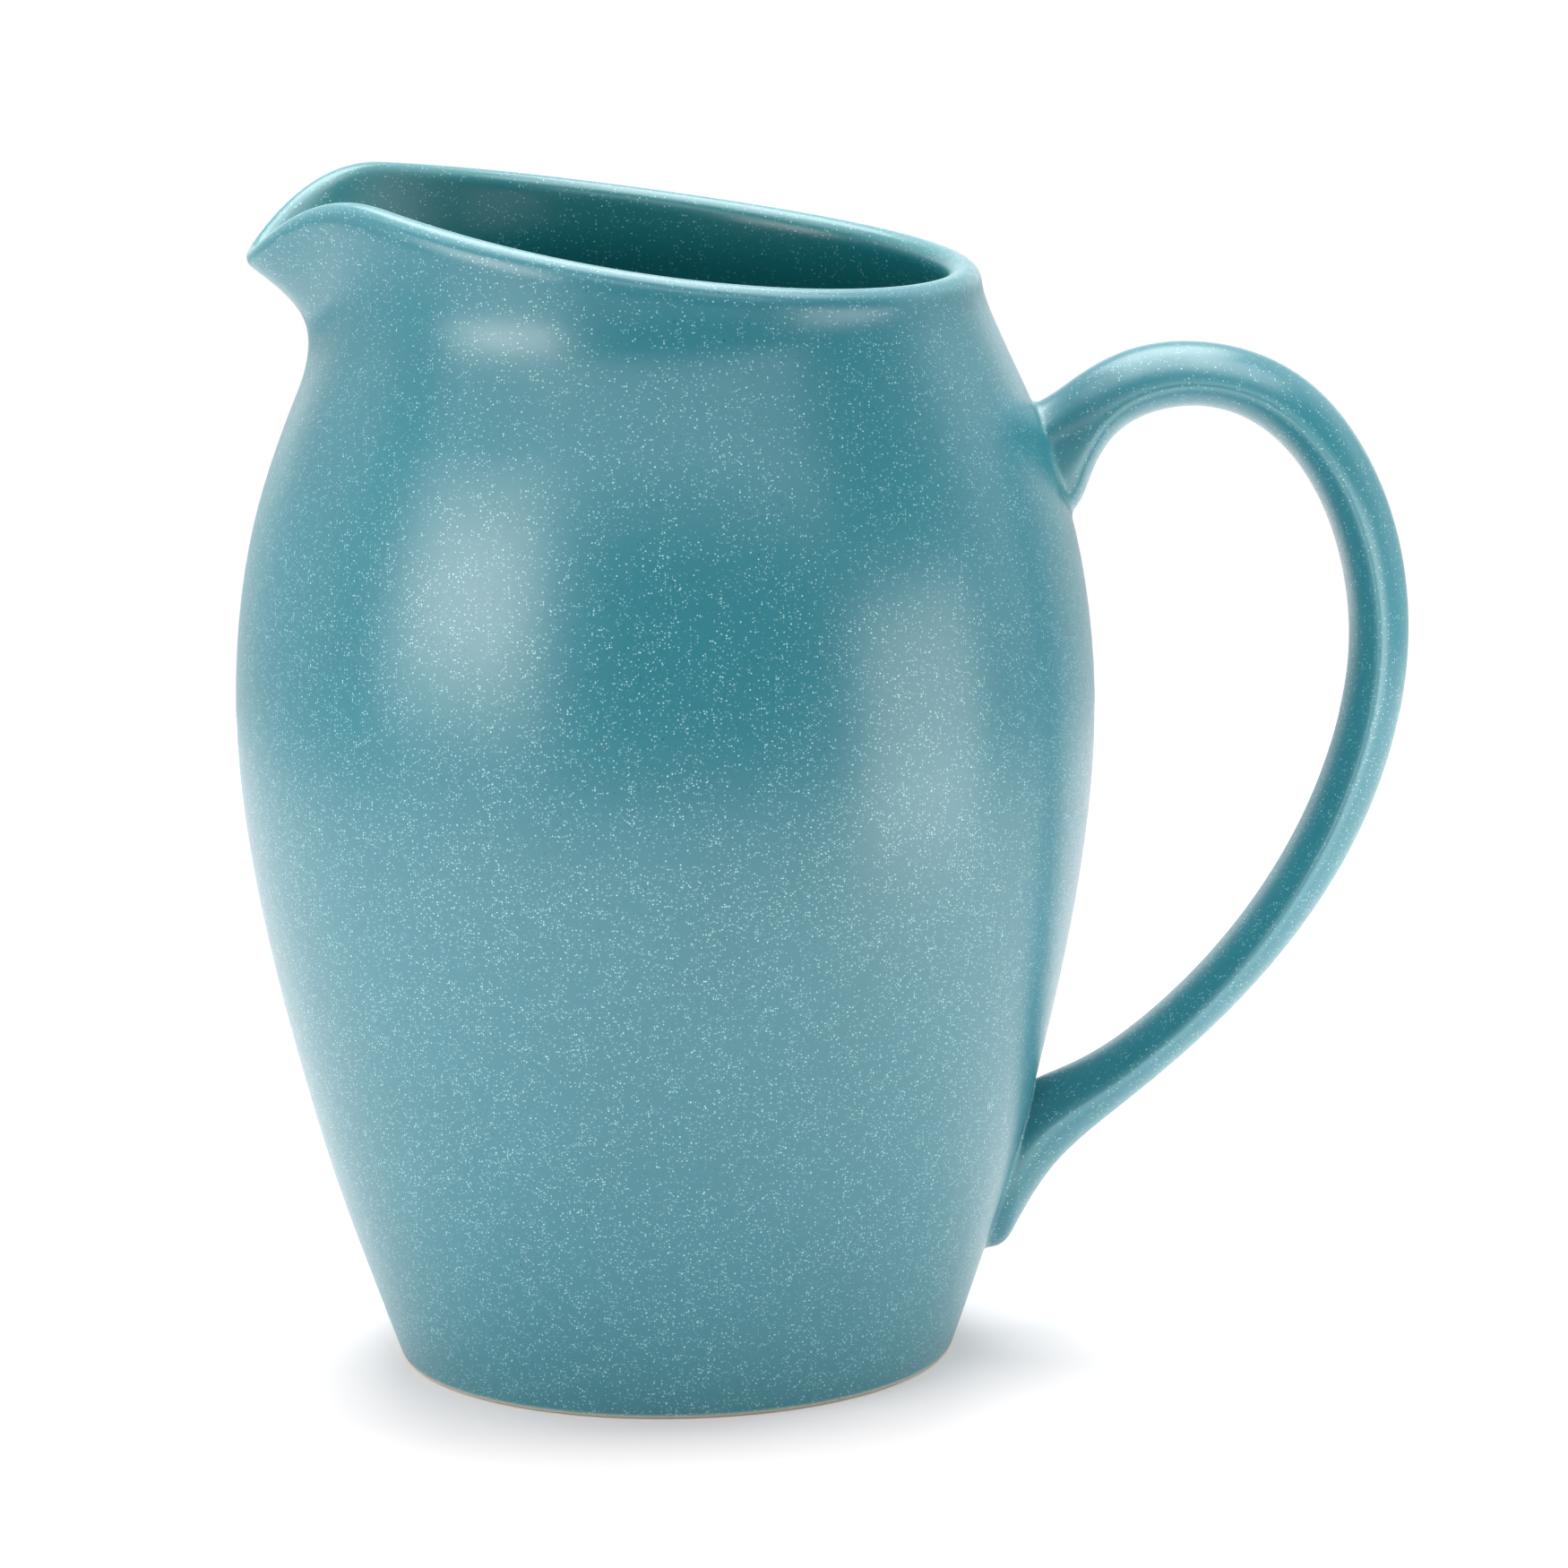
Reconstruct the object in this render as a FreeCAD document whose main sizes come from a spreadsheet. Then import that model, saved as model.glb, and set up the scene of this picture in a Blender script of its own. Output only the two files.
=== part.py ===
import FreeCAD, Part
import math
import os

import Sketcher
from FreeCAD import Vector

# Stoneware pitcher. Millimetres, +Z up, origin on the table plane at the axis of the body.
# The pouring lip points to -X and the handle to +X, and the XZ plane is the mirror plane.
#
# The vessel wall and the handle have no flat or round stretch long enough for primitives, so each is
# one smooth spline surface drawn over a net of control points: rings round the axis for the vessel,
# lens-shaped sections for the handle. Everything that touches them is cut from the same surfaces, so
# neighbouring pieces share a face exactly.

# ---------------------------------------------------------------- driving dimensions

DIMENSIONS = [
    # alias, value, meaning
    ("wall", 5.0, "thickness of the wall"),
    ("lip_back", 5.2, "thickness of the rim at the handle"),
    ("lip_tip", 3.2, "thickness of the rim at the tip of the pouring lip"),
    ("shoulder_height", 163.6, "height on the straight part of the shoulder"),
    ("shoulder_radius", 58.7, "mid-wall radius at that height"),
    ("shoulder_slope", 0.455, "radius lost per millimetre of height on the shoulder"),
    ("collar_softness", 0.8, "how gently the shoulder turns into the collar"),
    ("mouth_radius", 50.6, "mid-wall radius of the collar"),
    ("flare_height", 162.1, "height where the pouring lip starts to leave the body"),
    ("flare_power", 2.6, "how late the pouring lip bends outwards"),
    ("spout_reach", 16.3, "how far the pouring lip stands out of the mouth circle"),
    ("spout_spread", 16.8, "half width of the pouring lip, degrees round the axis"),
    ("rim_height", 191.9, "height of the crest of the rim beside the axis"),
    ("rim_tilt", 0.158, "rise of the rim per millimetre towards the lip"),
    ("rim_bow", 0.0007, "hollow of the rim line"),
    ("dip_start", 46.4, "distance from the axis where the rim turns down to the tip"),
    ("dip", 0.0362, "how fast it turns down"),
    ("floor_top", 8.0, "height of the inside floor"),
    ("ring_inner_radius", 40.0, "inner radius of the foot ring"),
    ("ring_depth", 2.8, "depth of the recess inside the foot ring"),
    ("handle_width", 18.0, "width of the handle strap"),
    ("tail_width", 16.5, "width of the handle at its lower end"),
    ("glaze", 0.35, "thickness of the glaze coat"),
    ("slip_pad", 0.9, "thickness of the slip under the handle's ends"),
    ("slip_bead", 0.8, "how far the slip stands out round the handle's ends"),
    ("anchor_depth", 3.6, "depth to which the handle's ends are trimmed inside the wall"),
]

# Belly, as (mid-wall radius, height), from just above the foot to the shoulder.
BELLY = [
    (46.5, 6.7), (50.3, 17.6), (55.1, 31.6), (59.7, 48.6), (64.5, 68.6),
    (68.2, 88.6), (70.1, 108.6), (69.1, 127.6), (66.2, 143.6), (62.0, 155.6),
]
# Foot outside, as (radius, height), from the contact ring to the start of the belly.
FOOT = [(45.0, 0.0), (46.4, 0.0), (46.95, 0.4), (47.4, 1.8)]
# Inside corner between wall and floor, as (radius, height above the floor).
FLOOR_CORNER = [(45.0, 4.2), (42.6, 1.3), (37.5, 0.0), (32.0, 0.0)]
# Heights of the rings between the start of the flare (0) and the rim (1).
FLARE_STEPS = [0.09, 0.18, 0.27, 0.36, 0.45, 0.54, 0.63, 0.72, 0.80, 0.88, 0.95, 1.0]
# Angles of the rings that round the rim, from the outer face over the crest to the inner face.
LIP_ANGLES = [30, 60, 90, 120, 150]

# Handle, as (outer edge x, outer edge z, inner edge x, inner edge z), from the upper end inside the
# wall, over the arch and down to the blunt tail.
HANDLE = [
    (60.4, 160.6, 66.3, 142.0), (64.4, 161.7, 70.0, 143.8), (69.1, 165.7, 71.2, 148.0),
    (77.6, 170.6, 75.6, 158.2), (88.4, 172.3, 87.6, 162.2), (102.6, 169.6, 98.6, 159.9),
    (114.9, 160.1, 107.5, 152.0), (123.8, 142.2, 114.0, 139.2), (126.5, 123.0, 116.9, 122.5),
    (124.2, 104.5, 114.9, 107.1), (117.5, 85.9, 109.0, 90.1), (106.4, 68.6, 99.4, 73.9),
    (93.1, 54.1, 87.6, 60.4), (79.5, 42.6, 75.2, 50.2), (69.0, 34.5, 67.2, 46.5),
    (62.9, 27.8, 62.4, 44.9), (57.6, 18.2, 60.0, 43.4), (56.0, 15.1, 59.0, 42.6),
    (51.0, 15.6, 57.8, 42.0),
]

COLUMNS = 96                    # control points round the axis
SECTION_POINTS = 20             # control points round the handle
EDGE_SHIFT = -0.13              # side edge of the handle, from its middle (0) towards its inner edge (-1)
EDGE_SHARPNESS = (0.7, 1.55)    # handle section: boxy at the ends, lens-shaped along the strap
BLEND_SECTIONS = 3              # handle sections over which the ends turn into the strap
LIP_FULLNESS = 1.03             # control points of the rim stand slightly outside the round

# Rows of the vessel's net, counted from the foot.
MID_ROWS = len(BELLY) + 1 + len(FLARE_STEPS)
CREST_ROW = len(FOOT) + MID_ROWS - 1 + LIP_ANGLES.index(90) + 1
GLAZE_FOOT_ROW = 2              # the glaze stops on this row of the foot
BAND = (2, len(FOOT) + len(BELLY) + 3)   # surface parameters of the wall that the handle can touch


def dimension_sheet(doc):
    """The spreadsheet of driving dimensions."""
    sheet = doc.addObject("Spreadsheet::Sheet", "Dimensions")
    for row, (alias, value, meaning) in enumerate(DIMENSIONS, start=1):
        sheet.set(f"A{row}", meaning)
        sheet.set(f"B{row}", str(value))
        sheet.setAlias(f"B{row}", alias)
    doc.recompute()
    return sheet


# ---------------------------------------------------------------- net of the vessel wall


def spout_share(angle):
    """Share of the pouring lip at an angle from the handle: 1 at the tip, almost 0 elsewhere."""
    away = 2 * math.sin((angle - math.pi) / 2) / math.radians(sheet.spout_spread)
    return 1 / (1 + away * away)


def neck_radius(height):
    """Mid-wall radius above the belly: a straight shoulder that eases into an upright collar."""
    line = sheet.shoulder_radius - sheet.shoulder_slope * (height - sheet.shoulder_height)
    above = (line - sheet.mouth_radius) / sheet.collar_softness
    return sheet.mouth_radius + sheet.collar_softness * math.log1p(math.exp(above))


def crest_height(x):
    """Height of the crest of the rim: a slope down to the handle that dips at the pouring lip."""
    dip = max(0.0, -x - sheet.dip_start)
    return sheet.rim_height - sheet.rim_tilt * x + sheet.rim_bow * x * x - sheet.dip * dip * dip


def ring(radius, height):
    """One circular row of control points."""
    turn = 2 * math.pi / COLUMNS
    return [Vector(radius * math.cos(turn * j), radius * math.sin(turn * j), height)
            for j in range(COLUMNS)]


def flared_row(step):
    """One row between shoulder and rim: its points and the half thickness of the wall at each."""
    points = []
    halves = []
    for j in range(COLUMNS):
        angle = 2 * math.pi * j / COLUMNS
        share = spout_share(angle)
        half_lip = (sheet.lip_back + (sheet.lip_tip - sheet.lip_back) * share) / 2
        rim_x = (sheet.mouth_radius + sheet.spout_reach * share) * math.cos(angle)
        rim_z = crest_height(rim_x) - half_lip
        z = sheet.flare_height + (rim_z - sheet.flare_height) * step
        radius = neck_radius(z) + sheet.spout_reach * share * step ** sheet.flare_power
        points.append(Vector(radius * math.cos(angle), radius * math.sin(angle), z))
        halves.append(sheet.wall / 2 + (half_lip - sheet.wall / 2) * step ** 3)
    return points, halves


def middle_net():
    """The middle of the wall from foot to rim, with the half thickness at each point."""
    rows = [ring(radius, height) for radius, height in BELLY]
    rows.append(ring(neck_radius(sheet.flare_height), sheet.flare_height))
    halves = [[sheet.wall / 2] * COLUMNS for _ in rows]
    for step in FLARE_STEPS:
        points, half = flared_row(step)
        rows.append(points)
        halves.append(half)
    return rows, halves


def normals(net):
    """Unit normal at each point of a net that is closed along its rows."""
    result = []
    last = len(net) - 1
    for i, row in enumerate(net):
        below = net[max(0, i - 1)]
        above = net[min(last, i + 1)]
        count = len(row)
        line = []
        for j in range(count):
            along = row[(j + 1) % count] - row[j - 1]
            line.append(along.cross(above[j] - below[j]).normalize())
        result.append(line)
    return result


def offset(net, distance):
    """The net moved along its normals."""
    return [[point + normal * distance for point, normal in zip(row, line)]
            for row, line in zip(net, normals(net))]


def lip_row(points, halves, outward, below, angle):
    """One row of the rounded rim, turned by angle from the outer face over the crest."""
    row = []
    for point, half, out, under in zip(points, halves, outward, below):
        up = point - under
        up = (up - out * up.dot(out)).normalize()
        reach = half * LIP_FULLNESS
        turn = math.radians(angle)
        row.append(point + out * (reach * math.cos(turn)) + up * (reach * math.sin(turn)))
    return row


def vessel_net():
    """The vessel's skin in one net: foot, outside, over the rim, inside, floor."""
    middle, halves = middle_net()
    outward = normals(middle)
    outside = []
    inside = []
    for row, half, line in zip(middle, halves, outward):
        outside.append([p + n * h for p, h, n in zip(row, half, line)])
        inside.append([p - n * h for p, h, n in zip(row, half, line)])
    lip = [lip_row(middle[-1], halves[-1], outward[-1], middle[-2], angle) for angle in LIP_ANGLES]
    foot = [ring(radius, height) for radius, height in FOOT]
    floor = [ring(radius, sheet.floor_top + height) for radius, height in FLOOR_CORNER]
    return foot + outside + lip + inside[:0:-1] + floor


# ---------------------------------------------------------------- net of the handle


def handle_section(outer, inner, width, sharpness):
    """One closed section between the outer and the inner edge of the strap."""
    centre = (outer + inner) * 0.5
    depth = (outer - inner) * 0.5
    points = []
    for j in range(SECTION_POINTS):
        angle = 2 * math.pi * j / SECTION_POINTS
        rise = math.copysign(abs(math.cos(angle)) ** sharpness, math.cos(angle))
        reach = 1 - EDGE_SHIFT if rise > 0 else 1 + EDGE_SHIFT
        across = Vector(0, width / 2 * math.sin(angle), 0)
        points.append(centre + depth * (EDGE_SHIFT + reach * rise) + across)
    return points


def handle_net(growth):
    """The handle strap from its upper to its lower end, grown on all sides."""
    last = len(HANDLE) - 1
    rows = []
    for i, (outer_x, outer_z, inner_x, inner_z) in enumerate(HANDLE):
        share = i / last
        width = sheet.handle_width + (sheet.tail_width - sheet.handle_width) * share + 2 * growth
        blend = min(1.0, min(i, last - i) / BLEND_SECTIONS)
        sharpness = EDGE_SHARPNESS[0] + (EDGE_SHARPNESS[1] - EDGE_SHARPNESS[0]) * blend
        outer = Vector(outer_x, 0, outer_z)
        inner = Vector(inner_x, 0, inner_z)
        margin = (outer - inner).normalize() * growth
        rows.append(handle_section(outer + margin, inner - margin, width, sharpness))
    return rows


# ---------------------------------------------------------------- surfaces and solids


def spline_surface(net):
    """Uniform cubic surface over a net, closed along the rows and clamped at the first and last."""
    around = len(net[0])
    spans = len(net) - 3
    poles = [[row[j] for row in net] for j in range(around)]
    surface = Part.BSplineSurface()
    surface.buildFromPolesMultsKnots(
        poles, [1] * (around + 1), [4] + [1] * (spans - 1) + [4],
        list(range(around + 1)), list(range(spans + 1)), True, False, 3, 3)
    return surface


def row_position(row):
    """Surface parameter nearest to a row of the net."""
    return row - 1


def patch(surface, start, end):
    """The closed strip of a surface between two parameters across its rows."""
    first_u, last_u, _, _ = surface.bounds()
    return surface.toShape(first_u, last_u, start, end)


def disc(surface, position):
    """The flat face inside a surface's ring at that parameter."""
    return Part.Face(Part.Wire([surface.vIso(position).toShape()]))


def bridge(first, second, position):
    """The face that joins two surfaces' rings at that parameter."""
    return Part.makeRuledSurface(first.vIso(position).toShape(), second.vIso(position).toShape())


def solid(faces):
    """The closed solid that the faces enclose."""
    shell = Part.Compound(faces)
    shell.sewShape()
    result = Part.Solid(shell.Shells[0])
    if result.Volume < 0:
        result.reverse()
    return result


def coat(inner, outer, start, end):
    """The layer between two surfaces from one parameter to another."""
    return solid([patch(inner, start, end), patch(outer, start, end),
                  bridge(inner, outer, start), bridge(inner, outer, end)])


def closed_body(surface):
    """The solid inside a surface, with flat ends."""
    _, _, start, end = surface.bounds()
    return solid([patch(surface, start, end), disc(surface, start), disc(surface, end)])


def shape_object(doc, name, shape):
    """A document object that holds a spline solid."""
    item = doc.addObject("Part::Feature", name)
    item.Shape = shape
    return item


def boolean(doc, kind, name, base, tool):
    """A Part::Cut or Part::Common of two document objects."""
    item = doc.addObject(kind, name)
    item.Base = base
    item.Tool = tool
    return item


# ---------------------------------------------------------------- sub-parts


def foot_recess(doc):
    """The cutter for the recess inside the foot ring, with a rounded corner."""
    blank = doc.addObject("Part::Cylinder", "recess_blank")
    blank.setExpression("Radius", "Dimensions.ring_inner_radius")
    blank.setExpression("Height", "2 * Dimensions.ring_depth")
    blank.setExpression("Placement.Base.z", "-Dimensions.ring_depth")
    doc.recompute()
    cutter = doc.addObject("Part::Fillet", "recess_cutter")
    cutter.Base = blank
    top_edge = next(i for i, edge in enumerate(blank.Shape.Edges, start=1)
                    if edge.Closed and edge.CenterOfMass.z > 0)
    radius = sheet.ring_depth * 0.6
    cutter.Edges = [(top_edge, radius, radius)]
    return cutter


def vessel_body(doc, skin):
    """The cast vessel with its foot ring."""
    wall = shape_object(doc, "vessel_blank", closed_body(skin))
    return boolean(doc, "Part::Cut", "vessel_body", wall, foot_recess(doc))


def slip_joints(doc, skin, pad_skin):
    """Both slip pads: the strap's outline grown by the bead, between the wall and the handle."""
    layer = shape_object(doc, "pad_layer", coat(skin, pad_skin, *BAND))
    outline = shape_object(doc, "pad_outline",
                           closed_body(spline_surface(handle_net(sheet.slip_bead))))
    return boolean(doc, "Part::Common", "slip_joints", layer, outline)


def half_space(doc, name, lowest):
    """A box over the handle side of the vessel, one half of its height, from a given level."""
    box = doc.addObject("Part::Box", name)
    box.setExpression("Length", "2 * Dimensions.shoulder_radius")
    box.setExpression("Width", "4 * Dimensions.handle_width")
    box.setExpression("Height", "Dimensions.rim_height / 2")
    box.setExpression("Placement.Base.y", "-2 * Dimensions.handle_width")
    box.setExpression("Placement.Base.z", lowest)
    return box


def slip_pad(doc, joints, name, lowest):
    """The slip pad in the upper or the lower half of the vessel."""
    return boolean(doc, "Part::Common", name, joints, half_space(doc, name + "_half", lowest))


def handle(doc, blade, band):
    """The strap, cut to the curve of the wall at both ends."""
    return boolean(doc, "Part::Cut", "handle", blade, band)


def handle_glaze(doc, blade, band):
    """The glaze round the strap between its two joints."""
    full = shape_object(doc, "handle_coat_full",
                        closed_body(spline_surface(handle_net(sheet.glaze))))
    sleeve = boolean(doc, "Part::Cut", "handle_coat_sleeve", full, blade)
    return boolean(doc, "Part::Cut", "handle_glaze", sleeve, band)


def exterior_glaze(doc, skin, glaze_skin, joints):
    """The outside coat from the foot line to the crest, left out under the slip pads."""
    start = row_position(GLAZE_FOOT_ROW)
    full = shape_object(doc, "exterior_coat", coat(skin, glaze_skin, start, row_position(CREST_ROW)))
    return boolean(doc, "Part::Cut", "exterior_glaze", full, joints)


def interior_glaze(doc, skin, glaze_skin):
    """The inside coat from the crest down the wall and over the floor."""
    _, _, _, end = skin.bounds()
    crest = row_position(CREST_ROW)
    faces = [patch(skin, crest, end), disc(skin, end), bridge(skin, glaze_skin, crest),
             patch(glaze_skin, crest, end), disc(glaze_skin, end)]
    return shape_object(doc, "interior_glaze", solid(faces))


def underside_glaze(doc):
    """The glazed disc inside the foot ring, padded down from the recess's ceiling."""
    body = doc.addObject("PartDesign::Body", "underside_glaze")
    sketch = body.newObject("Sketcher::SketchObject", "underside_outline")
    plane = next(f for f in body.Origin.OriginFeatures if f.Role == "XY_Plane")
    sketch.AttachmentSupport = [(plane, "")]
    sketch.MapMode = "FlatFace"
    sketch.setExpression("AttachmentOffset.Base.z", "Dimensions.ring_depth - Dimensions.glaze")
    sketch.addGeometry(Part.Circle(Vector(0, 0, 0), Vector(0, 0, 1), sheet.ring_inner_radius), False)
    sketch.addConstraint(Sketcher.Constraint("Coincident", 0, 3, -1, 1))
    radius = sketch.addConstraint(Sketcher.Constraint("Radius", 0, sheet.ring_inner_radius))
    sketch.setExpression(f"Constraints[{radius}]",
                         "Dimensions.ring_inner_radius - 0.6 * Dimensions.ring_depth")
    pad = body.newObject("PartDesign::Pad", "underside_pad")
    pad.Profile = sketch
    pad.setExpression("Length", "Dimensions.glaze")
    body.Tip = pad
    return body


def check(doc, parts):
    """Stop if any object failed or any sub-part isn't one valid solid."""
    for item in doc.Objects:
        if any(state in ("Invalid", "Error") for state in item.State):
            raise RuntimeError(f"{item.Name} failed: {item.State}")
    for part in parts:
        shape = part.Shape
        if shape.isNull() or not shape.isValid():
            raise RuntimeError(f"{part.Label} has no valid shape")
        if len(shape.Solids) != 1:
            raise RuntimeError(f"{part.Label} has {len(shape.Solids)} solids")


doc = FreeCAD.newDocument("pitcher")
sheet = dimension_sheet(doc)

vessel = vessel_net()
skin = spline_surface(vessel)
glaze_skin = spline_surface(offset(vessel, sheet.glaze))
pad_skin = spline_surface(offset(vessel, sheet.slip_pad))
anchor_skin = spline_surface(offset(vessel, -sheet.anchor_depth))

blade = shape_object(doc, "handle_blade", closed_body(spline_surface(handle_net(0))))
band = shape_object(doc, "trim_band", coat(anchor_skin, pad_skin, *BAND))
joints = slip_joints(doc, skin, pad_skin)

parts = [
    vessel_body(doc, skin),
    handle(doc, blade, band),
    slip_pad(doc, joints, "upper_handle_slip", "Dimensions.rim_height / 2"),
    slip_pad(doc, joints, "lower_handle_slip", "0"),
    exterior_glaze(doc, skin, glaze_skin, joints),
    interior_glaze(doc, skin, glaze_skin),
    handle_glaze(doc, blade, band),
    underside_glaze(doc),
]
doc.recompute()
check(doc, parts)

os.makedirs("parts", exist_ok=True)
for part in parts:
    part.Shape.exportStep(os.path.join("parts", part.Label + ".step"))
    box = part.Shape.BoundBox
    print(f"{part.Label}: {part.Shape.Volume / 1000:.2f} cm3, {len(part.Shape.Faces)} faces, "
          f"x {box.XMin:.1f}..{box.XMax:.1f}, y {box.YMin:.1f}..{box.YMax:.1f}, "
          f"z {box.ZMin:.1f}..{box.ZMax:.1f}")
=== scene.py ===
import math

import bpy
import numpy as np
from mathutils import Matrix, Vector


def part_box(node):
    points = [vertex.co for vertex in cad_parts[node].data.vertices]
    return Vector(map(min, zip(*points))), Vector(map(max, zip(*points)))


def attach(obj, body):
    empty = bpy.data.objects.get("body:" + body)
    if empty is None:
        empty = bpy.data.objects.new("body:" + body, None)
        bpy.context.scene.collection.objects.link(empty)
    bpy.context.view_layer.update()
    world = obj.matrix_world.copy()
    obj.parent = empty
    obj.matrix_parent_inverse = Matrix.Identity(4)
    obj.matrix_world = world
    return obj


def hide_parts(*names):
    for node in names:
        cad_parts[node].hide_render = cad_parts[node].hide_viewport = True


# Looks of the speckled stoneware pitcher. The nets below are the ones the CAD surfaces are drawn on, in
# millimetres. Every mesh is built from them in metres, in the CAD frame: +Z up, lip to -X, handle to +X.

MM = 0.001

# ---------------------------------------------------------------- shape of the vessel

WALL = 5.0
LIP_BACK = 5.2
LIP_TIP = 3.2
SHOULDER_HEIGHT = 163.6
SHOULDER_RADIUS = 58.7
SHOULDER_SLOPE = 0.455
COLLAR_SOFTNESS = 0.8
MOUTH_RADIUS = 50.6
FLARE_HEIGHT = 162.1
FLARE_POWER = 2.6
SPOUT_REACH = 16.3
SPOUT_SPREAD = math.radians(16.8)
RIM_HEIGHT = 191.9
RIM_TILT = 0.158
RIM_BOW = 0.0007
DIP_START = 46.4
DIP = 0.0362
FLOOR_TOP = 8.0
GLAZE = 0.35

BELLY = [
    (46.5, 6.7), (50.3, 17.6), (55.1, 31.6), (59.7, 48.6), (64.5, 68.6),
    (68.2, 88.6), (70.1, 108.6), (69.1, 127.6), (66.2, 143.6), (62.0, 155.6),
]
FOOT = [(45.0, 0.0), (46.4, 0.0), (46.95, 0.4), (47.4, 1.8)]
FLOOR_CORNER = [(45.0, 4.2), (42.6, 1.3), (37.5, 0.0), (32.0, 0.0)]
FLARE_STEPS = [0.09, 0.18, 0.27, 0.36, 0.45, 0.54, 0.63, 0.72, 0.80, 0.88, 0.95, 1.0]
LIP_ANGLES = [30, 60, 90, 120, 150]
LIP_FULLNESS = 1.03
COLUMNS = 96

MID_ROWS = len(BELLY) + 1 + len(FLARE_STEPS)
CREST = len(FOOT) + MID_ROWS - 1 + LIP_ANGLES.index(90)      # surface parameter of the crest
GLAZE_FOOT = 1.0                                             # surface parameter of the glaze line

# ---------------------------------------------------------------- shape of the handle

HANDLE_WIDTH = 18.0
TAIL_WIDTH = 16.5
HANDLE = [
    (60.4, 160.6, 66.3, 142.0), (64.4, 161.7, 70.0, 143.8), (69.1, 165.7, 71.2, 148.0),
    (77.6, 170.6, 75.6, 158.2), (88.4, 172.3, 87.6, 162.2), (102.6, 169.6, 98.6, 159.9),
    (114.9, 160.1, 107.5, 152.0), (123.8, 142.2, 114.0, 139.2), (126.5, 123.0, 116.9, 122.5),
    (124.2, 104.5, 114.9, 107.1), (117.5, 85.9, 109.0, 90.1), (106.4, 68.6, 99.4, 73.9),
    (93.1, 54.1, 87.6, 60.4), (79.5, 42.6, 75.2, 50.2), (69.0, 34.5, 67.2, 46.5),
    (62.9, 27.8, 62.4, 44.9), (57.6, 18.2, 60.0, 43.4), (56.0, 15.1, 59.0, 42.6),
    (51.0, 15.6, 57.8, 42.0),
]
SECTION_POINTS = 20
EDGE_SHIFT = -0.13
EDGE_SHARPNESS = (0.7, 1.55)
BLEND_SECTIONS = 3


# ---------------------------------------------------------------- control nets


def ring(radius, height):
    """One circular row of control points."""
    turn = 2 * math.pi * np.arange(COLUMNS) / COLUMNS
    return np.stack([radius * np.cos(turn), radius * np.sin(turn), np.full(COLUMNS, height)], axis=1)


def neck_radius(height):
    """Mid-wall radius above the belly: a straight shoulder that eases into an upright collar."""
    line = SHOULDER_RADIUS - SHOULDER_SLOPE * (height - SHOULDER_HEIGHT)
    return MOUTH_RADIUS + COLLAR_SOFTNESS * np.log1p(np.exp((line - MOUTH_RADIUS) / COLLAR_SOFTNESS))


def crest_height(x):
    """Height of the crest of the rim: a slope down to the handle that dips at the pouring lip."""
    dip = np.maximum(0.0, -x - DIP_START)
    return RIM_HEIGHT - RIM_TILT * x + RIM_BOW * x * x - DIP * dip * dip


def middle_net():
    """The middle of the wall from foot to rim, with the half thickness at each point."""
    angle = 2 * math.pi * np.arange(COLUMNS) / COLUMNS
    away = 2 * np.sin((angle - math.pi) / 2) / SPOUT_SPREAD
    share = 1 / (1 + away * away)
    half_lip = (LIP_BACK + (LIP_TIP - LIP_BACK) * share) / 2
    rim_x = (MOUTH_RADIUS + SPOUT_REACH * share) * np.cos(angle)
    rim_z = crest_height(rim_x) - half_lip
    rows = [ring(radius, height) for radius, height in BELLY]
    rows.append(ring(neck_radius(FLARE_HEIGHT), FLARE_HEIGHT))
    halves = [np.full(COLUMNS, WALL / 2) for _ in rows]
    for step in FLARE_STEPS:
        z = FLARE_HEIGHT + (rim_z - FLARE_HEIGHT) * step
        radius = neck_radius(z) + SPOUT_REACH * share * step ** FLARE_POWER
        rows.append(np.stack([radius * np.cos(angle), radius * np.sin(angle), z], axis=1))
        halves.append(WALL / 2 + (half_lip - WALL / 2) * step ** 3)
    return np.array(rows), np.array(halves)


def unit(vectors):
    """The vectors at unit length."""
    return vectors / np.linalg.norm(vectors, axis=-1, keepdims=True)


def net_normals(net):
    """Unit normal at each point of a net that is closed along its rows."""
    along = np.roll(net, -1, axis=1) - np.roll(net, 1, axis=1)
    across = np.concatenate([net[1:2] - net[:1], net[2:] - net[:-2], net[-1:] - net[-2:-1]])
    return unit(np.cross(along, across))


def vessel_net():
    """The clay skin of the vessel in one net: foot, outside, over the rim, inside, floor."""
    middle, halves = middle_net()
    outward = net_normals(middle)
    reach = halves[..., None] * outward
    up = middle[-1] - middle[-2]
    up = unit(up - outward[-1] * np.sum(up * outward[-1], axis=1, keepdims=True))
    lip = []
    for angle in np.radians(LIP_ANGLES):
        lip.append(middle[-1] + LIP_FULLNESS * halves[-1][:, None]
                   * (outward[-1] * math.cos(angle) + up * math.sin(angle)))
    foot = [ring(radius, height) for radius, height in FOOT]
    floor = [ring(radius, FLOOR_TOP + height) for radius, height in FLOOR_CORNER]
    inside = (middle - reach)[:0:-1]
    return np.concatenate([foot, middle + reach, lip, inside, floor])


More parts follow.
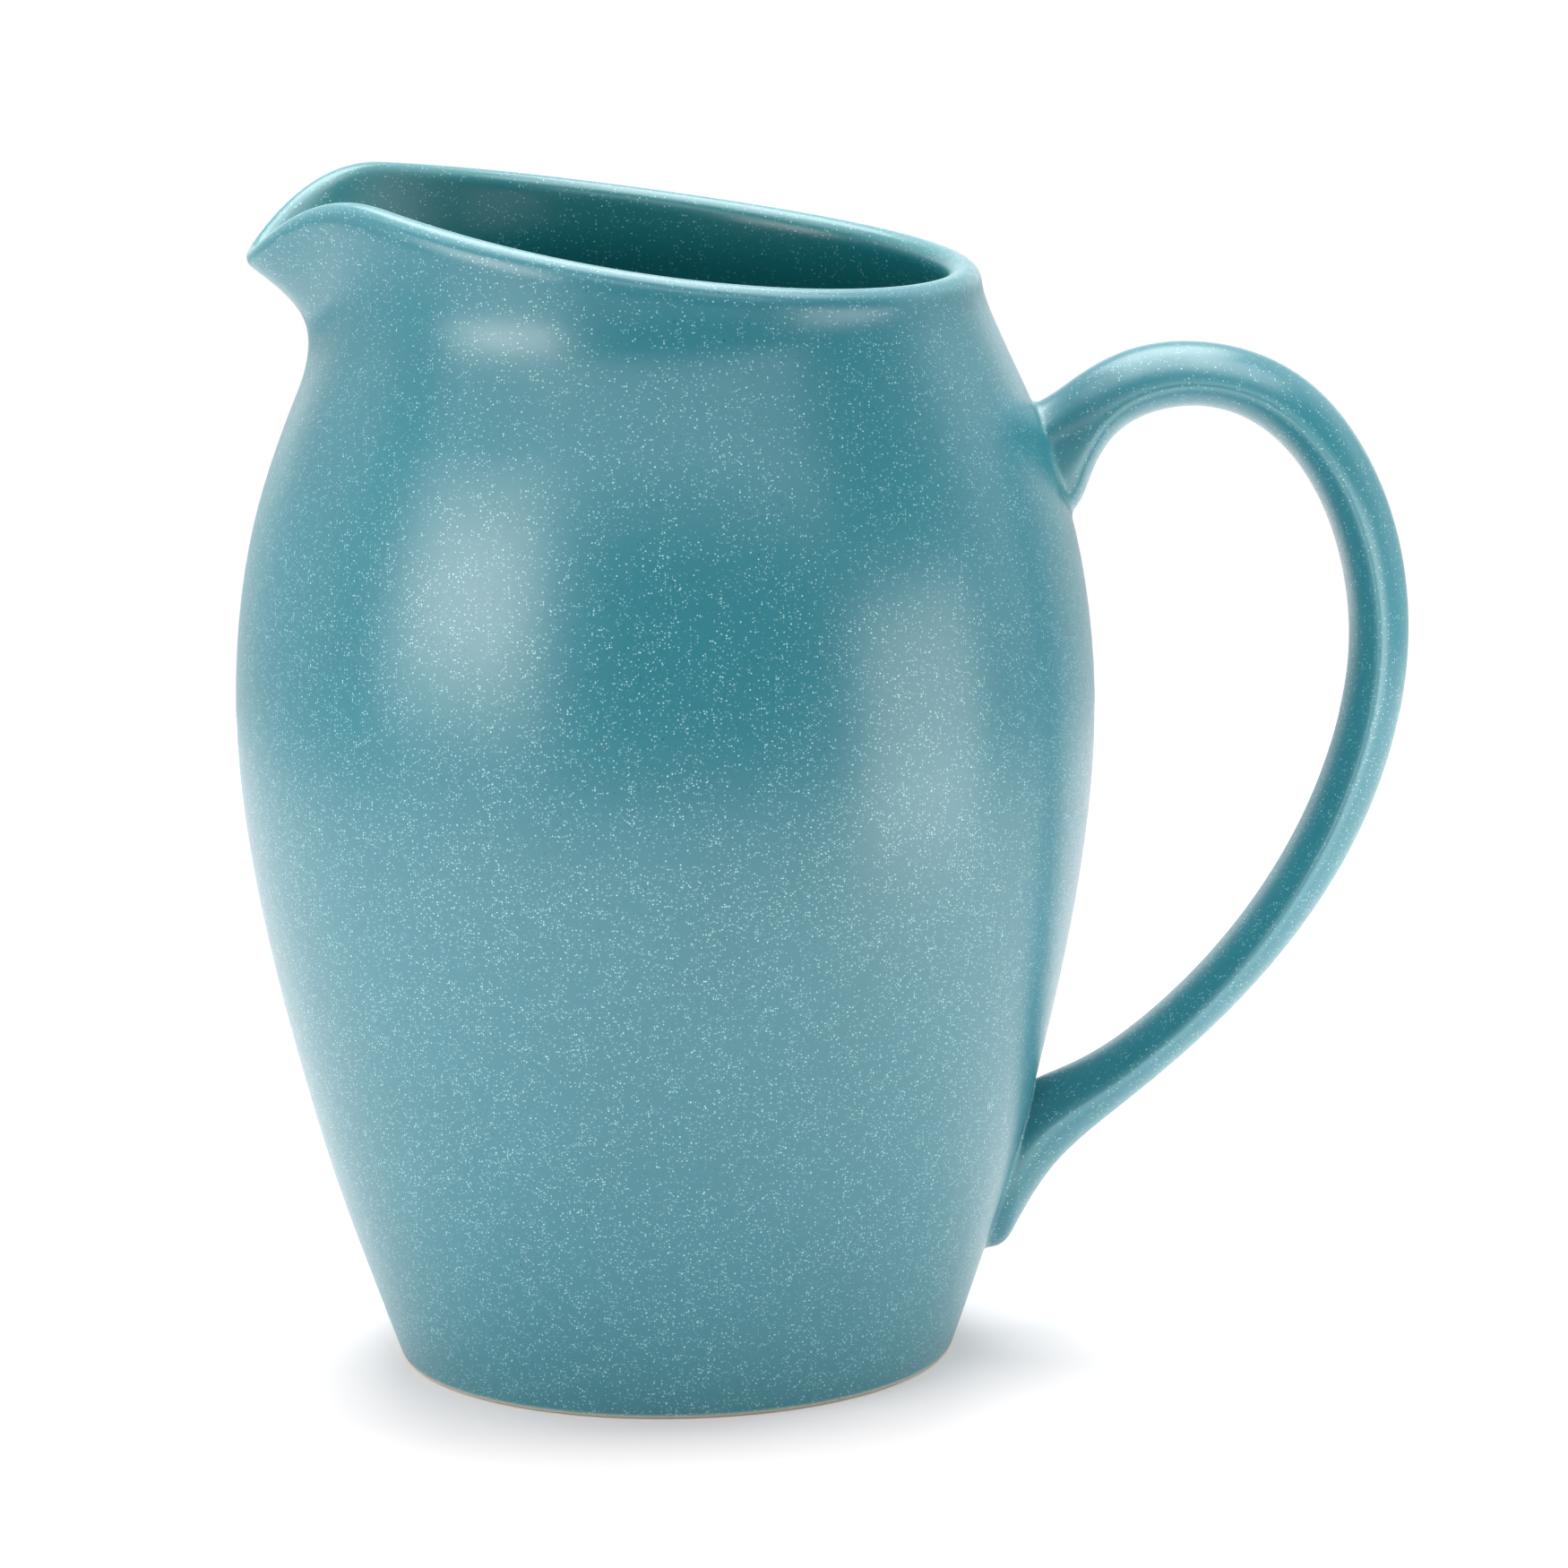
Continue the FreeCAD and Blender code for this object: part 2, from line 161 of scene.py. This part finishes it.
def handle_net():
    """The glazed skin of the handle strap, from its upper to its lower end."""
    angle = 2 * math.pi * np.arange(SECTION_POINTS) / SECTION_POINTS
    last = len(HANDLE) - 1
    rows = []
    for i, (outer_x, outer_z, inner_x, inner_z) in enumerate(HANDLE):
        width = HANDLE_WIDTH + (TAIL_WIDTH - HANDLE_WIDTH) * i / last + 2 * GLAZE
        blend = min(1.0, min(i, last - i) / BLEND_SECTIONS)
        sharpness = EDGE_SHARPNESS[0] + (EDGE_SHARPNESS[1] - EDGE_SHARPNESS[0]) * blend
        outer = np.array([outer_x, 0, outer_z])
        inner = np.array([inner_x, 0, inner_z])
        depth = (outer - inner) / 2 + unit(outer - inner) * GLAZE
        rise = np.sign(np.cos(angle)) * np.abs(np.cos(angle)) ** sharpness
        reach = np.where(rise > 0, 1 - EDGE_SHIFT, 1 + EDGE_SHIFT)
        across = np.stack([0 * angle, -width / 2 * np.sin(angle), 0 * angle], axis=1)
        rows.append((outer + inner) / 2 + (EDGE_SHIFT + reach * rise)[:, None] * depth + across)
    return np.array(rows)


# ---------------------------------------------------------------- spline surfaces


def spline_weights(knots, count, at):
    """Weight of each of count control points on a cubic spline, at each parameter."""
    at = np.clip(np.asarray(at, float), knots[3], knots[count] - 1e-9)
    weights = ((at[:, None] >= knots[None, :-1]) & (at[:, None] < knots[None, 1:])).astype(float)
    for degree in (1, 2, 3):
        span = knots[degree:] - knots[:-degree]
        safe = np.where(span > 0, span, 1.0)
        rising = (at[:, None] - knots[None, :-degree]) / safe
        left = rising * (span > 0)
        right = (1 - rising) * (span > 0)
        weights = left[:, :-1] * weights[:, :-1] + right[:, 1:] * weights[:, 1:]
    return weights


def weights_along(rows, at):
    """Weights over the rows, clamped at the first and last."""
    spans = rows - 3
    knots = np.concatenate([[0.0] * 3, np.arange(spans + 1), [float(spans)] * 3])
    return spline_weights(knots, rows, at)


def weights_around(columns, at):
    """Weights over the columns, closed on themselves."""
    knots = np.arange(-3.0, columns + 4.0)
    open_weights = spline_weights(knots, columns + 3, np.asarray(at, float) % columns)
    weights = np.zeros((len(open_weights), columns))
    for j in range(columns + 3):
        weights[:, (j - 1) % columns] += open_weights[:, j]
    return weights


def spline_points(net, along, around):
    """Points of the surface over a net on a grid of parameters."""
    w_along = weights_along(net.shape[0], along)
    w_around = weights_around(net.shape[1], around)
    return np.einsum("vi,ijk,uj->vuk", w_along, net, w_around, optimize=True)


def grid_normals(points):
    """Unit normal at each point of an evaluated grid, closed around."""
    around = np.roll(points, -1, axis=1) - np.roll(points, 1, axis=1)
    along = np.gradient(points, axis=0)
    return unit(np.cross(around, along))


# ---------------------------------------------------------------- meshes


def grid_object(name, points, normals, marks, material, node, cap=False):
    """A glazed piece in place of a CAD node, over a grid that is closed around, with its own normals and
    marks. cap closes the last row with one flat face."""
    rows, columns = points.shape[:2]
    index = np.arange(rows * columns).reshape(rows, columns)
    after = np.roll(index, -1, axis=1)
    faces = np.stack([index[:-1], after[:-1], after[1:], index[1:]], axis=-1).reshape(-1, 4).tolist()
    if cap:
        faces.append(index[-1].tolist())
    mesh = bpy.data.meshes.new(name)
    mesh.from_pydata((points.reshape(-1, 3) * MM).tolist(), [], faces)
    mesh.shade_smooth()
    for mark, values in marks.items():
        attribute = mesh.attributes.new(mark, "FLOAT", "POINT")
        attribute.data.foreach_set("value", np.ascontiguousarray(values, np.float32).ravel())
    mesh.normals_split_custom_set_from_vertices(normals.reshape(-1, 3).tolist())
    mesh.materials.append(material)
    piece = bpy.data.objects.new(name, mesh)
    bpy.context.scene.collection.objects.link(piece)
    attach(piece, "root")
    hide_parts(node)


def glaze_roll(clay, glazed, down):
    """Rows that round the glaze's lower edge down onto the clay."""
    out = unit(glazed - clay)
    return np.array([clay + GLAZE * (out * math.sin(turn) + down * math.cos(turn))
                     for turn in np.radians([0, 22, 45, 67])])


# how far the glaze pales from the crest, partly where it runs thin and partly as a painted highlight, and
# how far clay shows through from the glaze line, in surface parameters, and a distance that is beyond
# both
RIM_FADE = 3.2
FOOT_FADE = 0.5
BEYOND = 9.0
COARSE = 0.25              # grid steps on the vessel, in surface parameters
FINE = 0.125


def fading(distance, reach, columns):
    """A mark for each grid point: 1 where the row's distance is 0, 0 from reach on."""
    return np.outer(np.clip(1 - distance / reach, 0, 1), np.ones(columns))


def vessel_coats(glaze_outside, glaze_inside):
    """Both coats of the vessel, as one skin that parts at the crest of the rim. Returns the skin's line
    of points on the handle's side."""
    net = vessel_net()
    glazed = net + GLAZE * net_normals(net)
    last = net.shape[0] - 3
    around = np.arange(0, COLUMNS, COARSE)
    along = np.concatenate([
        np.arange(GLAZE_FOOT, 6, FINE), np.arange(6, CREST - 5, COARSE),
        np.arange(CREST - 5, CREST + 5, FINE), np.arange(CREST + 5, last + 0.01, COARSE)])
    skin = spline_points(glazed, along, around)
    clay = spline_points(net, [GLAZE_FOOT, GLAZE_FOOT - 0.1], around)
    roll = glaze_roll(clay[0], skin[0], unit(clay[1] - clay[0]))
    floor = np.array([skin[-1] * [share, share, 1] for share in (0.8, 0.6, 0.4, 0.2, 0.05)])
    points = np.concatenate([roll, skin, floor])
    normals = grid_normals(points)
    inside = np.full(len(floor), BEYOND)
    from_crest = np.concatenate([np.full(len(roll), BEYOND), np.abs(along - CREST), inside])
    from_line = np.concatenate([np.zeros(len(roll)), along - GLAZE_FOOT, inside])
    # paler towards the crest of the rim: partly thin glaze, partly a painted highlight
    edge = fading(from_crest, RIM_FADE, len(around))
    bare = fading(from_line, FOOT_FADE, len(around))
    crest = len(roll) + int(np.argmin(np.abs(along - CREST)))
    # the inner coat takes the darker inside copy of the glaze, which is painted shade
    for name, rows, material, slot, node, cap in (
            ("glaze_outer", slice(0, crest + 1), glaze_outside, "glaze_outside", "exterior_glaze", False),
            ("glaze_inner", slice(crest, None), glaze_inside, "glaze_inside", "interior_glaze", True)):
        marks = {"edge": edge[rows], "bare": bare[rows]}
        grid_object(name, points[rows], normals[rows], marks, material, node, cap)
    return skin[:, 0]


# ---------------------------------------------------------------- handle and its joints

FILLET = 1.3               # reach of the glaze that fills the corner at each joint
FILLET_ROWS = 8
STRAP_ROWS = 220
SEARCH_ROWS = 801          # rows on which the strap's crossings with the wall are found
SECTION_STEP = 1 / 8       # grid step round the strap, in section points
ABOVE_JOINTS = 175.0       # a height on the wall that both joints stay below


def wall_profile(column):
    """Radius of the glazed wall by height on the handle's side, for the outside only."""
    heights = column[:, 2]
    top = int(np.argmax(heights > ABOVE_JOINTS))
    return heights[:top], np.hypot(column[:top, 0], column[:top, 1])


def on_wall(points, profile):
    """The points moved out or in to the glazed wall, and the wall's normals there."""
    heights, radii = profile
    radius = np.interp(points[:, 2], heights, radii)
    slope = np.interp(points[:, 2], heights, np.gradient(radii, heights))
    flat = unit(points[:, :2])
    placed = np.column_stack([flat * radius[:, None], points[:, 2]])
    return placed, unit(np.column_stack([flat, -slope]))


def crossing(lines, profile, from_top):
    """Where each line of the strap passes through the wall: how far along it, as a row number."""
    heights, radii = profile
    gap = np.hypot(lines[..., 0], lines[..., 1]) - np.interp(lines[..., 2], heights, radii)
    if from_top:
        row = np.argmax(gap > 0, axis=0)
    else:
        row = len(gap) - np.argmax(gap[::-1] > 0, axis=0)
    j = np.arange(gap.shape[1])
    before, after = gap[row - 1, j], gap[row, j]
    return row - 1 + before / (before - after)


def sample(lines, rows):
    """Points on the strap's lines at fractional row numbers, one set of rows for each line."""
    low = np.clip(np.floor(rows).astype(int), 0, len(lines) - 2)
    share = (rows - low)[..., None]
    j = np.arange(lines.shape[1])
    return lines[low, j] * (1 - share) + lines[low + 1, j] * share


def corner_fill(edge, corner, profile):
    """Rows of the glaze in the corner, from the wall to the strap's edge, and the wall's normals."""
    _, normal = on_wall(corner, profile)
    tangent = np.roll(corner, -1, axis=0) - np.roll(corner, 1, axis=0)
    aside = unit(np.cross(normal, tangent))
    if np.sum(aside * (corner - corner.mean(axis=0))) < 0:
        aside = -aside
    foot, foot_normal = on_wall(corner + FILLET * aside, profile)
    rows = []
    for t in np.linspace(0, 1, FILLET_ROWS + 1):
        rows.append((1 - t) ** 2 * foot + 2 * t * (1 - t) * corner + t * t * edge)
    return np.array(rows), foot_normal


def handle_coat(column, glaze):
    """The glazed strap and the glaze in both its joints, as one skin."""
    profile = wall_profile(column)
    net = handle_net()
    along = np.linspace(0, net.shape[0] - 3, SEARCH_ROWS)
    fine = spline_points(net, along, np.arange(0, SECTION_POINTS, SECTION_STEP))
    top = crossing(fine, profile, True)
    bottom = crossing(fine, profile, False)
    length = np.concatenate([np.zeros((1, fine.shape[1])),
                             np.cumsum(np.linalg.norm(np.diff(fine, axis=0), axis=2), axis=0)])
    rows = np.arange(len(fine))
    first = np.empty(fine.shape[1])
    final = np.empty(fine.shape[1])
    for j in range(fine.shape[1]):
        first[j] = np.interp(np.interp(top[j], rows, length[:, j]) + FILLET, length[:, j], rows)
        final[j] = np.interp(np.interp(bottom[j], rows, length[:, j]) - FILLET, length[:, j], rows)
    share = (1 - np.cos(np.linspace(0, math.pi, STRAP_ROWS))) / 2
    strap = sample(fine, first + (final - first) * share[:, None])
    upper, upper_normal = corner_fill(strap[0], sample(fine, top[None])[0], profile)
    lower, lower_normal = corner_fill(strap[-1], sample(fine, bottom[None])[0], profile)
    points = np.concatenate([upper[:-1], strap, lower[-2::-1]])
    normals = grid_normals(points)
    normals[0] = upper_normal
    normals[-1] = lower_normal
    angle = 2 * math.pi * np.arange(fine.shape[1]) / fine.shape[1]
    # a narrow pale line along the widest point of each side of the strap: partly thin glaze, partly a
    # painted highlight
    arris_thin_glaze_and_highlight = np.clip(np.abs(np.sin(angle)) * 12 - 11, 0, 1)
    edge = np.ones(len(points))[:, None] * arris_thin_glaze_and_highlight
    ends = slice(0, FILLET_ROWS + 1), slice(FILLET_ROWS, -FILLET_ROWS), slice(-FILLET_ROWS - 1, None)
    for name, rows, slot, node in zip(
            ("joint_bead_upper", "glaze_handle_painted_light", "joint_bead_lower"), ends,
            ("slip", "glaze_outside", "slip"),
            ("upper_handle_slip", "handle_glaze", "lower_handle_slip")):
        grid_object(name, points[rows], normals[rows], {"edge": edge[rows]}, glaze, node)


# radius, and how far the glaze bulges down there: a meniscus at the foot ring, then flat
UNDERSIDE = [(39.4, 0.04), (38.9, 0.07), (38.0, 0.02), (36.5, 0.0), (28.0, 0.0), (16.0, 0.0), (4.0, 0.0)]


def underside_coat(glaze):
    """The glazed disc inside the foot ring."""
    _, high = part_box("underside_glaze")
    level = high[2] / MM - GLAZE
    points = np.array([ring(radius, level - bulge)[::-1] for radius, bulge in UNDERSIDE])
    marks = {"edge": np.zeros((len(UNDERSIDE), COLUMNS))}
    grid_object("glaze_underside", points, grid_normals(points), marks, glaze,
                "underside_glaze", cap=True)


# ---------------------------------------------------------------- materials

GLAZE_OUTSIDE = (0.022, 0.182, 0.228)
# the same glaze made lighter: painted light on the handle and its joints
GLAZE_HANDLE_PAINTED_LIGHT = (0.026, 0.204, 0.251)
# the same glaze with less red and blue: painted shade for the inside of the vessel and the underside
GLAZE_INSIDE_PAINTED_SHADE = (0.009, 0.182, 0.208)
# pale glaze for the edge mark at the rim's crest and the handle's arris: partly glaze running thin,
# partly a painted highlight
THIN_GLAZE_AND_HIGHLIGHT = (0.16, 0.40, 0.44)
GLAZE_OVER_CLAY = (0.52, 0.52, 0.40)
LIGHT_SPECK = (0.46, 0.78, 0.80)
DARK_SPECK = (0.02, 0.07, 0.08)
CLAY_DARK = (0.60, 0.50, 0.36)
CLAY_LIGHT = (0.70, 0.61, 0.46)
IRON_SPECK = (0.22, 0.15, 0.09)

# cells per metre
CLOUDS = 45.0
RIPPLES = 260.0
SPECK_PATCHES = 330.0
SHEEN_PATCHES = 600.0
LIGHT_SPECKS = 2600.0
DARK_SPECKS = 1500.0
CLAY_GRAIN = 1500.0
IRON_SPECKS = 700.0
BUMP_DEPTH = 0.0001        # metres
SPECKS_THIN = (0.11, 0.18) # heights in metres between which the light specks get fewer


def set_range(node, low, high, to_low, to_high):
    """Set the four limits of a Map Range node."""
    for name, number in (("From Min", low), ("From Max", high), ("To Min", to_low), ("To Max", to_high)):
        node.inputs[name].default_value = number


class Nodes:
    """A short way to write a node tree."""

    def __init__(self, name):
        self.material = bpy.data.materials.new(name)
        self.material.use_nodes = True
        self.tree = self.material.node_tree
        self.shader = self.tree.nodes["Principled BSDF"]
        self.place = self.add("ShaderNodeTexCoord").outputs["Object"]

    def add(self, kind, **values):
        """A node, with input sockets set or linked by name and properties by name."""
        node = self.tree.nodes.new(kind)
        for key, value in values.items():
            if hasattr(node, key) and key not in node.inputs:
                setattr(node, key, value)
            elif isinstance(value, bpy.types.NodeSocket):
                self.tree.links.new(value, node.inputs[key])
            else:
                node.inputs[key].default_value = value
        return node

    def ramp(self, value, low, high, to_low=0.0, to_high=1.0):
        """to_low at low, to_high at high, and no further."""
        node = self.add("ShaderNodeMapRange", Value=value)
        set_range(node, low, high, to_low, to_high)
        return node.outputs["Result"]

    def math(self, operation, a, b):
        """Arithmetic on two values."""
        node = self.tree.nodes.new("ShaderNodeMath")
        node.operation = operation
        for socket, value in zip(node.inputs, (a, b)):
            if isinstance(value, bpy.types.NodeSocket):
                self.tree.links.new(value, socket)
            else:
                socket.default_value = value
        return node.outputs[0]

    def mix(self, share, a, b):
        """A colour between a and b."""
        node = self.tree.nodes.new("ShaderNodeMix")
        node.data_type = "RGBA"
        for key, value in (("Factor_Float", share), ("A_Color", a), ("B_Color", b)):
            socket = next(i for i in node.inputs if i.identifier == key)
            if isinstance(value, bpy.types.NodeSocket):
                self.tree.links.new(value, socket)
            else:
                socket.default_value = (*value, 1.0) if isinstance(value, tuple) else value
        return next(o for o in node.outputs if o.identifier == "Result_Color")

    def noise(self, scale, detail=2.0):
        """Smooth noise, scale in cells per metre."""
        node = self.add("ShaderNodeTexNoise", Vector=self.place, Scale=scale, Detail=detail)
        return node.outputs["Fac"]

    def specks(self, scale, share, size):
        """Scattered specks of uneven size and strength: cells per metre, share of cells that hold one,
        and largest radius as a share of a cell."""
        cells = self.add("ShaderNodeTexVoronoi", Vector=self.place, Scale=scale, Randomness=1.0)
        parts = self.add("ShaderNodeSeparateColor", Color=cells.outputs["Color"]).outputs
        chosen = self.math("LESS_THAN", parts[0], share)
        reach = self.ramp(parts[1], 0.0, 1.0, size * 0.5, size)
        near = self.ramp(self.math("DIVIDE", cells.outputs["Distance"], reach), 1.0, 0.4)
        strength = self.ramp(parts[2], 0.0, 1.0, 0.35, 1.0)
        return self.math("MULTIPLY", self.math("MULTIPLY", near, chosen), strength)

    def finish(self, colour, bump):
        """The colour and the bump to the shader."""
        self.tree.links.new(colour, self.shader.inputs["Base Color"])
        self.tree.links.new(bump.outputs["Normal"], self.shader.inputs["Normal"])


def glaze_material(name, body, speckled):
    """Speckled satin glaze: it clouds a little, pales along an edge, partly where it runs thin and partly
    as a painted highlight, lets the clay show at the foot, and holds light and dark specks that gather in
    loose patches. speckled is the share of cells with a light speck there, which falls off towards the
    rim."""
    n = Nodes(name)
    edge = n.add("ShaderNodeAttribute", attribute_name="edge").outputs["Fac"]
    bare = n.add("ShaderNodeAttribute", attribute_name="bare").outputs["Fac"]
    colour = n.mix(n.ramp(n.noise(CLOUDS, 3.0), 0.3, 0.7), body, tuple(c * 1.06 for c in body))
    # the edge mark pales the glaze: partly where it runs thin, partly a painted highlight
    colour = n.mix(n.math("MULTIPLY", edge, 0.4), colour, THIN_GLAZE_AND_HIGHLIGHT)
    colour = n.mix(n.math("MULTIPLY", bare, 0.85), colour, GLAZE_OVER_CLAY)
    height = n.add("ShaderNodeSeparateXYZ", Vector=n.place).outputs["Z"]
    share = n.ramp(height, *SPECKS_THIN, speckled, 0.6 * speckled)
    patches = n.math("MULTIPLY", n.ramp(n.noise(SPECK_PATCHES, 2.0), 0.32, 0.62, 0.2, 1.0), share)
    light = n.specks(LIGHT_SPECKS, patches, 0.50)
    dark = n.specks(DARK_SPECKS, 0.06, 0.40)
    colour = n.mix(light, colour, LIGHT_SPECK)
    colour = n.mix(n.math("MULTIPLY", dark, 0.85), colour, DARK_SPECK)
    relief = n.math("ADD", n.noise(RIPPLES, 3.0), n.math("MULTIPLY", light, 0.3))
    bump = n.add("ShaderNodeBump", Height=relief, Strength=0.20, Distance=BUMP_DEPTH)
    n.finish(colour, bump)
    n.tree.links.new(n.ramp(n.noise(SHEEN_PATCHES), 0.3, 0.7, 0.29, 0.34), n.shader.inputs["Roughness"])
    n.shader.inputs["IOR"].default_value = 1.7
    return n.material


def clay_material():
    """Bare fired stoneware: fine grain, small iron specks, rough."""
    n = Nodes("fired_stoneware")
    grain = n.noise(CLAY_GRAIN, 4.0)
    colour = n.mix(n.ramp(grain, 0.3, 0.7), CLAY_DARK, CLAY_LIGHT)
    iron = n.specks(IRON_SPECKS, 0.06, 0.3)
    colour = n.mix(n.math("MULTIPLY", iron, 0.7), colour, IRON_SPECK)
    bump = n.add("ShaderNodeBump", Height=grain, Strength=0.5, Distance=BUMP_DEPTH)
    n.finish(colour, bump)
    n.shader.inputs["Roughness"].default_value = 0.85
    return n.material


def dress_clay(nodes, material):
    """The CAD nodes that stay get the fired clay."""
    for name in ("vessel_body", "handle"):
        mesh = nodes[name].data
        mesh.materials.clear()
        mesh.materials.append(material)


# ---------------------------------------------------------------- camera, light and floor

CAMERA_PLACE = (-0.02726, -1.33483, 0.38432)
CAMERA_TURN = (-2.0185, -12.124, -0.863)     # heading, pitch and roll in degrees
SENSOR = 36.0                                # millimetres
LENS = 185.14

NEUTRAL = (1.0, 1.0, 1.0)
WARM = (1.0, 0.94, 0.92)
WHITE = (1.0, 1.0, 1.0, 1.0)
ROOM_LEVEL = (-0.2, 1.0, 0.10, 1.0)          # a direction's share of +Y, from and to, and the level there

TABLE_RADIUS = 0.55                          # metres
TABLE_DROP = 0.0001                          # how far the table lies under the foot, clear of it
TABLE_COLOUR = (0.93, 0.89, 0.89, 1.0)
TABLE_GLOW = (1.0, 0.93, 0.93, 1.0)

# name, azimuth from +Y towards +X, elevation, distance, width, height, radiance, height aimed at, colour
SOFTBOXES = [
    ("over_back", 0, 58, 1.3, 1.0, 0.6, 5.3, 0.12, NEUTRAL),
    ("over_right", 90, 62, 1.3, 0.7, 0.7, 3.5, 0.12, NEUTRAL),
    ("over_left", -90, 62, 1.3, 0.7, 0.7, 1.8, 0.12, NEUTRAL),
    ("over_front", 180, 40, 1.2, 2.2, 0.22, 2.5, 0.12, NEUTRAL),
    ("overhead", 0, 86, 1.25, 0.8, 0.8, 4.3, 0.12, NEUTRAL),
    ("back", 0, 8, 1.1, 1.6, 0.3, 0.55, 0.12, NEUTRAL),
    ("back_left", -60, 30, 1.2, 0.8, 0.6, 0.45, 0.12, NEUTRAL),
    ("back_right", 60, 30, 1.2, 0.8, 0.6, 0.60, 0.12, NEUTRAL),
    ("side_left", -75, 0, 0.9, 0.4, 0.4, 0.30, 0.25, NEUTRAL),
    ("side_right", 75, 0, 0.9, 0.4, 0.4, 0.45, 0.25, NEUTRAL),
    ("key_left", -125, 0, 0.7, 0.6, 0.46, 2.85, 0.29, WARM),
    ("key_left_core", -129, 0, 0.37, 0.20, 0.16, 2.4, 0.22, WARM),
    ("key_right", 116, 0, 0.345, 0.22, 0.19, 2.9, 0.097, WARM),
]


def add_object(name, data, matrix):
    """A camera or light at a place."""
    thing = bpy.data.objects.new(name, data)
    bpy.context.scene.collection.objects.link(thing)
    thing.matrix_world = matrix
    return thing


def camera():
    """A long lens that looks a little down on the pitcher from in front, slightly rolled."""
    data = bpy.data.cameras.new("camera")
    data.sensor_width = SENSOR
    data.lens = LENS
    data.clip_end = 20.0
    heading, pitch, roll = (math.radians(angle) for angle in CAMERA_TURN)
    turn = (Matrix.Rotation(heading, 4, "Z") @ Matrix.Rotation(math.pi / 2 + pitch, 4, "X")
            @ Matrix.Rotation(roll, 4, "Z"))
    bpy.context.scene.camera = add_object("camera", data, Matrix.Translation(CAMERA_PLACE) @ turn)


def softbox(name, azimuth, elevation, distance, width, height, radiance, aim, colour):
    """A rectangular light that faces the pitcher's axis at a height, from a direction in degrees."""
    data = bpy.data.lights.new(name, "AREA")
    data.shape = "RECTANGLE"
    data.size = width
    data.size_y = height
    data.energy = radiance * math.pi * width * height
    data.color = colour
    a, e = math.radians(azimuth), math.radians(elevation)
    outward = Vector((math.sin(a) * math.cos(e), math.cos(a) * math.cos(e), math.sin(e)))
    middle = Vector((0, 0, aim))
    turn = outward.to_track_quat("Z", "Y").to_matrix().to_4x4()
    add_object(name, data, Matrix.Translation(middle + outward * distance) @ turn)


def studio():
    """Soft studio light in a dim room that is darker behind the camera, with a white background."""
    world = bpy.data.worlds.new("studio")
    world.use_nodes = True
    tree = world.node_tree
    room = tree.nodes["Background"]
    room.inputs["Color"].default_value = WHITE
    place = tree.nodes.new("ShaderNodeTexCoord")
    parts = tree.nodes.new("ShaderNodeSeparateXYZ")
    level = tree.nodes.new("ShaderNodeMapRange")
    tree.links.new(place.outputs["Generated"], parts.inputs[0])
    tree.links.new(parts.outputs["Y"], level.inputs["Value"])
    set_range(level, *ROOM_LEVEL)
    tree.links.new(level.outputs["Result"], room.inputs["Strength"])
    backdrop = tree.nodes.new("ShaderNodeBackground")
    backdrop.inputs["Color"].default_value = WHITE
    path = tree.nodes.new("ShaderNodeLightPath")
    mix = tree.nodes.new("ShaderNodeMixShader")
    tree.links.new(path.outputs["Is Camera Ray"], mix.inputs[0])
    tree.links.new(room.outputs[0], mix.inputs[1])
    tree.links.new(backdrop.outputs[0], mix.inputs[2])
    tree.links.new(mix.outputs[0], tree.nodes["World Output"].inputs["Surface"])
    bpy.context.scene.world = world
    for light in SOFTBOXES:
        softbox(*light)


def floor():
    """A round pale table."""
    mesh = bpy.data.meshes.new("floor")
    outline = [Vector((TABLE_RADIUS * math.cos(a), TABLE_RADIUS * math.sin(a), -TABLE_DROP))
               for a in np.radians(np.arange(0, 360, 5))]
    mesh.from_pydata(outline, [], [list(range(len(outline)))])
    material = bpy.data.materials.new("floor")
    material.use_nodes = True
    shader = material.node_tree.nodes["Principled BSDF"]
    shader.inputs["Base Color"].default_value = TABLE_COLOUR
    shader.inputs["Roughness"].default_value = 0.9
    shader.inputs["Specular IOR Level"].default_value = 0.0
    shader.inputs["Emission Color"].default_value = TABLE_GLOW
    shader.inputs["Emission Strength"].default_value = 0.06
    mesh.materials.append(material)
    add_object("floor", mesh, Matrix.Identity(4))


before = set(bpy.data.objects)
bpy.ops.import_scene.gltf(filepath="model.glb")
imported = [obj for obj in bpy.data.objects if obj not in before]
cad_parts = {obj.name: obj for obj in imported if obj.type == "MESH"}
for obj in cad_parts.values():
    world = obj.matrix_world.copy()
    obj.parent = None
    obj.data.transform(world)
    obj.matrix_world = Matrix.Identity(4)
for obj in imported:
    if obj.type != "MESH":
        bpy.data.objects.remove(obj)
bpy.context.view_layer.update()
bpy.context.scene.view_settings.view_transform = "Standard"
camera()
glaze_outside = glaze_material("satin_glaze_outside", GLAZE_OUTSIDE, 0.70)
# the handle copy is lighter than the outside one: painted light
glaze_handle_painted_light = glaze_material("satin_glaze_handle_painted_light", GLAZE_HANDLE_PAINTED_LIGHT, 0.45)
# the inside copy is darker than the outside one: painted shade
glaze_inside = glaze_material("satin_glaze_inside_painted_shade", GLAZE_INSIDE_PAINTED_SHADE, 0.50)
handle_coat(vessel_coats(glaze_outside, glaze_inside), glaze_handle_painted_light)
underside_coat(glaze_inside)
dress_clay(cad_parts, clay_material())
studio()
floor()
